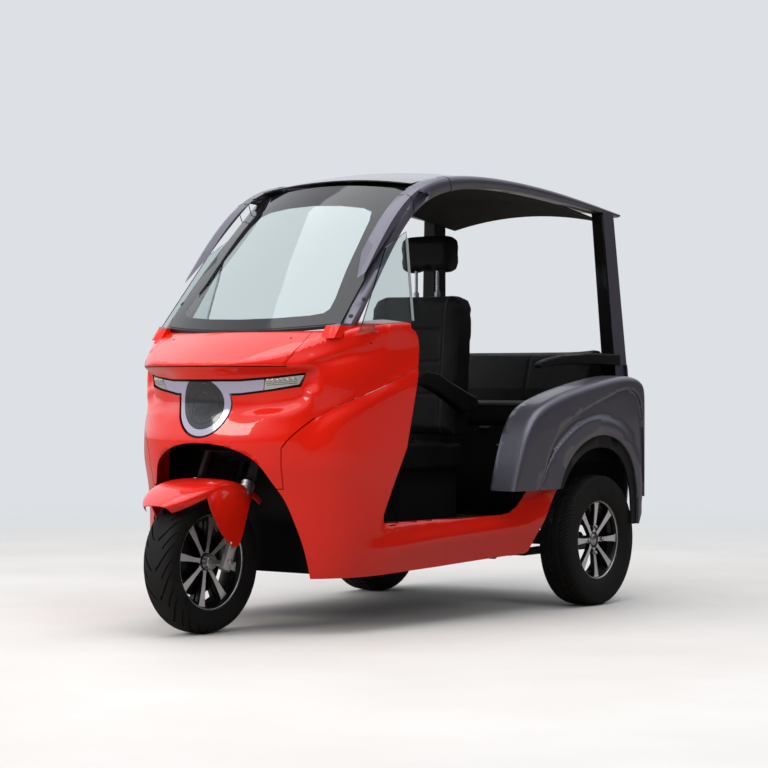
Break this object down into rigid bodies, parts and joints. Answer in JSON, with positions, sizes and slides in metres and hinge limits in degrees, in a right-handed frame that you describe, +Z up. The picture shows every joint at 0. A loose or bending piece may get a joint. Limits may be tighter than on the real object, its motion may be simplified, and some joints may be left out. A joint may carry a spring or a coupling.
{
  "type": "three wheeled car",
  "caption": "Light open-sided cabin car with a steered front wheel on a fork, driven rear wheels, sloped windscreen, long roof, driver's seat and passenger bench.",
  "frame": {"origin": "on the ground, below the middle of the length and width", "axes": "+X to the vehicle's left, +Y to the rear, +Z up"},
  "size_m": [1.2, 2.3207, 1.6465],
  "materials": {
    "red_gloss": "glossy moulded plastic",
    "grey_metallic": "metallic paint",
    "black_plastic": "matt black",
    "roof_black": "gloss black",
    "clear_glass": "clear",
    "seal_rubber": "satin black",
    "seat_vinyl": "grained vinyl",
    "frame_paint": "black paint",
    "lamp_white": "translucent white",
    "lamp_glass": "dark clear",
    "lamp_red": "clear red",
    "lamp_silver": "bright",
    "fork_alloy": "machined",
    "wheel_alloy": "machined face, black barrel",
    "tyre_rubber": "matt"
  },
  "bodies": {
    "root": {"chassis_frame": "frame_paint", "floor_pan": "black_plastic", "nose_panel": "red_gloss", "hood_panel": "red_gloss", "side_panel_left": "red_gloss", "side_panel_right": "red_gloss", "front_liner": "black_plastic", "lamp_housing": "black_plastic", "lamp_strip": "lamp_white", "headlamp_lens": "lamp_glass", "indicators": "lamp_silver", "dashboard": "black_plastic", "windscreen": "clear_glass", "windscreen_seal": "seal_rubber", "quarter_glasses": "clear_glass", "roof_rail_left": "grey_metallic", "roof_rail_right": "grey_metallic", "roof_panel": "roof_black", "headliner": "black_plastic", "rear_pillar_left": "grey_metallic", "rear_pillar_right": "grey_metallic", "rear_fender_left": "grey_metallic", "rear_fender_right": "grey_metallic", "arch_trims": "black_plastic", "tail_panel": "grey_metallic", "tail_lamps": "lamp_red", "bench_base": "black_plastic", "bench_cushion": "seat_vinyl", "bench_back": "seat_vinyl", "armrests": "seat_vinyl", "battery_box": "black_plastic", "driver_seat_base": "black_plastic", "driver_seat_cushion": "seat_vinyl", "driver_seat_back": "seat_vinyl", "rear_axle": "frame_paint"},
    "steering": {"fork": "fork_alloy", "handlebar": "black_plastic", "front_fender": "red_gloss"},
    "front_wheel": {"front_tyre": "tyre_rubber", "front_rim": "wheel_alloy"},
    "rear_wheel_left": {"rear_tyre_left": "tyre_rubber", "rear_rim_left": "wheel_alloy"},
    "rear_wheel_right": {"rear_tyre_right": "tyre_rubber", "rear_rim_right": "wheel_alloy"}
  },
  "joints": [
    {"name": "steering", "type": "hinge", "parent": "root", "child": "steering", "pos_m": [0, -0.88075, 0.2261], "axis": [0, 0.4226, 0.9063], "range_deg": [-38, 38]},
    {"name": "front_wheel_spin", "type": "hinge", "parent": "steering", "child": "front_wheel", "pos_m": [0, -0.917, 0.243], "axis": [1, 0, 0], "continuous": true},
    {"name": "rear_left_spin", "type": "hinge", "parent": "root", "child": "rear_wheel_left", "pos_m": [0.5105, 0.757, 0.251], "axis": [1, 0, 0], "continuous": true},
    {"name": "rear_right_spin", "type": "hinge", "parent": "root", "child": "rear_wheel_right", "pos_m": [-0.5105, 0.757, 0.251], "axis": [1, 0, 0], "continuous": true}
  ]
}
